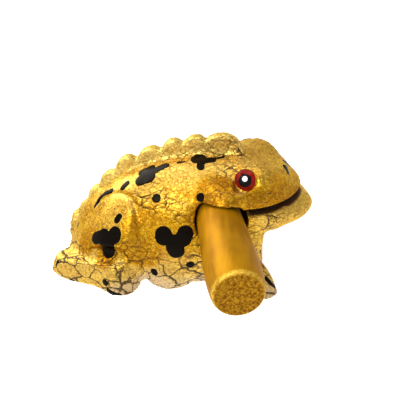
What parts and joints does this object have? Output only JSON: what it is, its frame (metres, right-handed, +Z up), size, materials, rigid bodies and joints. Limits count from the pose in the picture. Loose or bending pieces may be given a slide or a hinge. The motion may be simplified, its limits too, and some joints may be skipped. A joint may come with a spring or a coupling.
{
  "type": "frog rasp",
  "caption": "Carved wooden frog percussion rasp with a toothed back ridge, a slotted mouth and its striker stick stored in a cross bore.",
  "frame": {"origin": "on the flat underside, in the frog's plane of symmetry, at the middle of its length", "axes": "+X towards the nose, +Y to the frog's left, +Z up"},
  "size_m": [0.0997, 0.1007, 0.0524],
  "materials": {
    "gilt_wood": "crackled gold paint with black spots",
    "stick_wood": "satin ochre-gold paint"
  },
  "bodies": {
    "frog": {"frog_body": "gilt_wood"},
    "stick": {"striker_stick": "stick_wood"}
  },
  "joints": [
    {"name": "stick_pull", "type": "slide", "parent": "frog", "child": "stick", "axis": [0.1874, -0.9823, 0], "range_m": [0, 0.068]}
  ]
}
